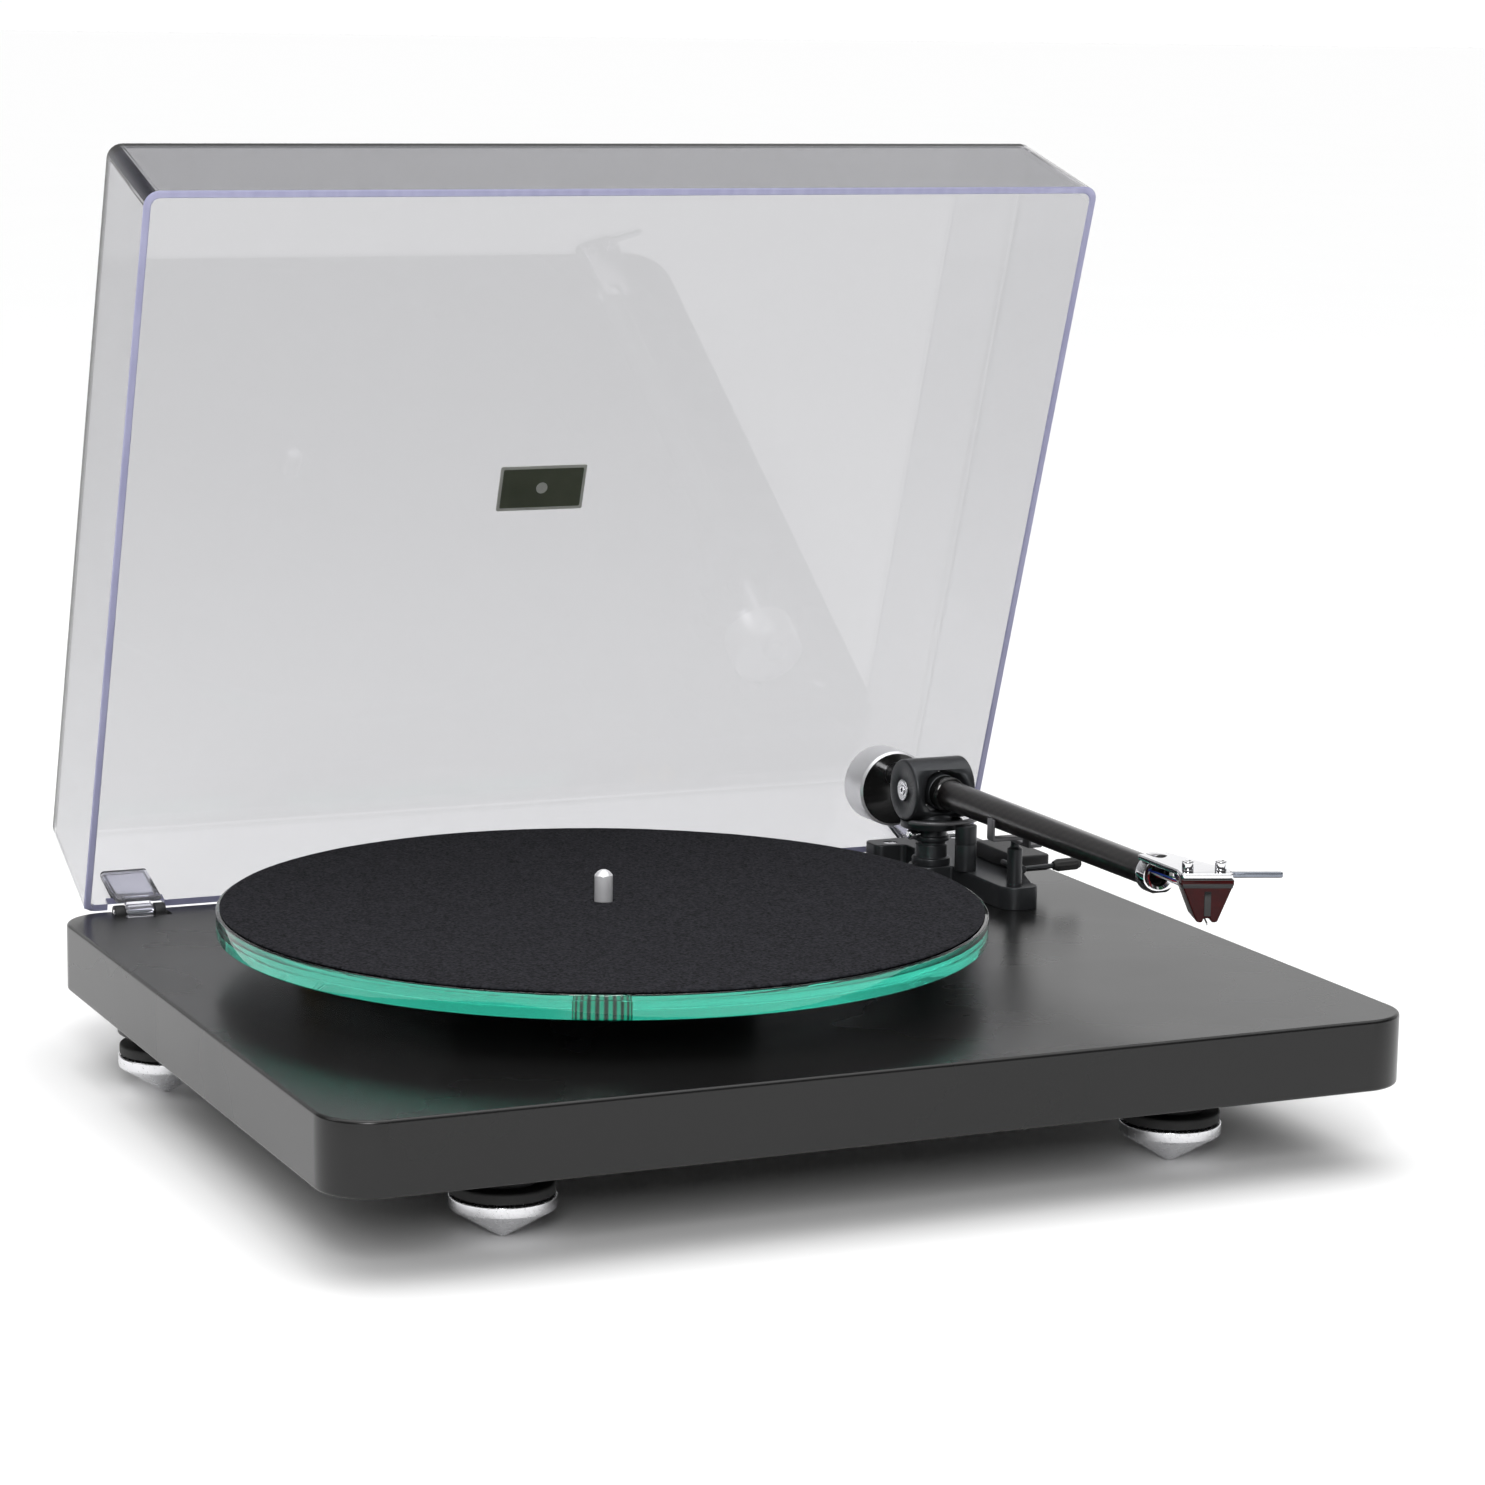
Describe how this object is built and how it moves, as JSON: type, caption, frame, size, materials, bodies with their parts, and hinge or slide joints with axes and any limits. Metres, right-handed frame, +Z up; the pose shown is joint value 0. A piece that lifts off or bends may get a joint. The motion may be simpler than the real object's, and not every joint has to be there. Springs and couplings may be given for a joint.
{
  "type": "turntable record player",
  "caption": "Belt-driven record player with a glass platter and felt mat, straight carbon tonearm with a moving-magnet cartridge, cueing lift, cone feet and hinged clear dust cover, shown open.",
  "frame": {"origin": "centre of the whole object's box in plan, on the surface the feet stand on, with the dust cover open", "axes": "+X to the right along the plinth's front, +Y to the rear, +Z up"},
  "size_m": [0.4308, 0.4, 0.3735],
  "materials": {
    "plinth_lacquer": "satin black lacquer",
    "black_plastic": "matte",
    "black_anodised": "satin anodised",
    "turned_aluminium": "fine turned",
    "steel": "brushed",
    "chrome": "polished",
    "bronze": "plain",
    "gilt": "plated",
    "board_green": "solder mask",
    "belt_rubber": "matte",
    "green_glass": "polished edge",
    "felt": "felt",
    "clear_acrylic": "smoke-clear acrylic",
    "carbon_weave": "lacquered carbon weave",
    "red_translucent": "dark red moulding",
    "lead_sleeves": "coloured sleeves",
    "badge_metal": "dark polished"
  },
  "bodies": {
    "base": {"plinth": "plinth_lacquer", "bottom_cover": "black_plastic", "foot_cups": "black_plastic", "bearing_housing": "turned_aluminium", "bearing_bush": "bronze", "thrust_ball": "steel", "motor_can": "steel", "motor_plate": "black_plastic", "motor_screws": "steel", "control_board": "board_green", "switch_housing": "black_plastic", "terminal_panel": "black_plastic", "signal_sockets": "gilt", "ground_post": "turned_aluminium", "power_socket": "black_plastic", "drive_belt": "belt_rubber", "arm_base": "black_anodised", "arm_base_screws": "chrome", "arm_column": "black_anodised", "height_screw": "chrome", "lift_cylinder": "black_anodised", "lift_housing": "black_plastic", "rest_post": "black_anodised", "rest_cradle": "steel", "hinge_bases": "black_plastic", "hinge_pins": "steel"},
    "foot_front_left": {"foot_cone_front_left": "turned_aluminium", "foot_disc_front_left": "belt_rubber"},
    "foot_front_right": {"foot_cone_front_right": "turned_aluminium", "foot_disc_front_right": "belt_rubber"},
    "foot_rear_left": {"foot_cone_rear_left": "turned_aluminium", "foot_disc_rear_left": "belt_rubber"},
    "foot_rear_right": {"foot_cone_rear_right": "turned_aluminium", "foot_disc_rear_right": "belt_rubber"},
    "platter": {"spindle": "chrome", "sub_platter": "black_plastic", "glass_platter": "green_glass", "felt_mat": "felt"},
    "pulley": {"motor_pulley": "bronze"},
    "lid": {"dust_cover": "clear_acrylic", "hinge_blades": "clear_acrylic", "badge_plate": "badge_metal"},
    "arm_yoke": {"bearing_yoke": "black_anodised", "yaw_shaft": "steel", "pivot_screws": "chrome", "pivot_nuts": "chrome"},
    "arm": {"bearing_hub": "black_anodised", "arm_tube": "carbon_weave", "tube_collar": "black_plastic", "rear_stub": "steel", "headshell": "chrome", "shell_screws": "chrome", "cartridge_body": "red_translucent", "cartridge_leads": "lead_sleeves", "stylus": "steel"},
    "weight": {"counterweight": "turned_aluminium"},
    "cue_lever": {"cue_lever": "black_anodised", "cue_grip": "belt_rubber"},
    "lift": {"lift_bar": "black_anodised"},
    "power_lever": {"switch_lever": "chrome"}
  },
  "joints": [
    {"name": "level_front_left", "type": "slide", "parent": "base", "child": "foot_front_left", "axis": [0, 0, 1], "range_m": [-0.005, 0]},
    {"name": "level_front_right", "type": "slide", "parent": "base", "child": "foot_front_right", "axis": [0, 0, 1], "range_m": [-0.005, 0]},
    {"name": "level_rear_left", "type": "slide", "parent": "base", "child": "foot_rear_left", "axis": [0, 0, 1], "range_m": [-0.005, 0]},
    {"name": "level_rear_right", "type": "slide", "parent": "base", "child": "foot_rear_right", "axis": [0, 0, 1], "range_m": [-0.005, 0]},
    {"name": "platter_spin", "type": "hinge", "parent": "base", "child": "platter", "pos_m": [-0.041, -0.01563, 0.06], "axis": [0, 0, -1], "continuous": true},
    {"name": "pulley_spin", "type": "hinge", "parent": "base", "child": "pulley", "pos_m": [-0.136, 0.04437, 0.06], "axis": [0, 0, -1], "continuous": true},
    {"name": "lid_hinge", "type": "hinge", "parent": "base", "child": "lid", "pos_m": [0, 0.14412, 0.0594], "axis": [1, 0, 0], "range_deg": [0, 71.63]},
    {"name": "arm_swing", "type": "hinge", "parent": "base", "child": "arm_yoke", "pos_m": [0.1495, 0.07667, 0.08], "axis": [0, 0, -1], "range_deg": [-2, 49]},
    {"name": "arm_tilt", "type": "hinge", "parent": "arm_yoke", "child": "arm", "pos_m": [0.1495, 0.07667, 0.102], "axis": [1, 0, 0], "range_deg": [-7, 0.7]},
    {"name": "weight_slide", "type": "slide", "parent": "arm", "child": "weight", "axis": [0, 1, 0], "range_m": [-0.008, 0]},
    {"name": "cue_turn", "type": "hinge", "parent": "base", "child": "cue_lever", "pos_m": [0.171, 0.03517, 0.0732], "axis": [0, -1, 0], "range_deg": [0, 45]},
    {"name": "lift_rise", "type": "slide", "parent": "base", "child": "lift", "axis": [0, 0, 1], "range_m": [0, 0.003]},
    {"name": "power_flick", "type": "hinge", "parent": "base", "child": "power_lever", "pos_m": [-0.1865, -0.18433, 0.036], "axis": [1, 0, 0], "range_deg": [0, 16]}
  ],
  "couplings": [
    {"joint": "pulley_spin", "follows": "platter_spin", "ratio": 7.5},
    {"joint": "cue_turn", "follows": "lift_rise", "rad_per_m": 261.79}
  ]
}
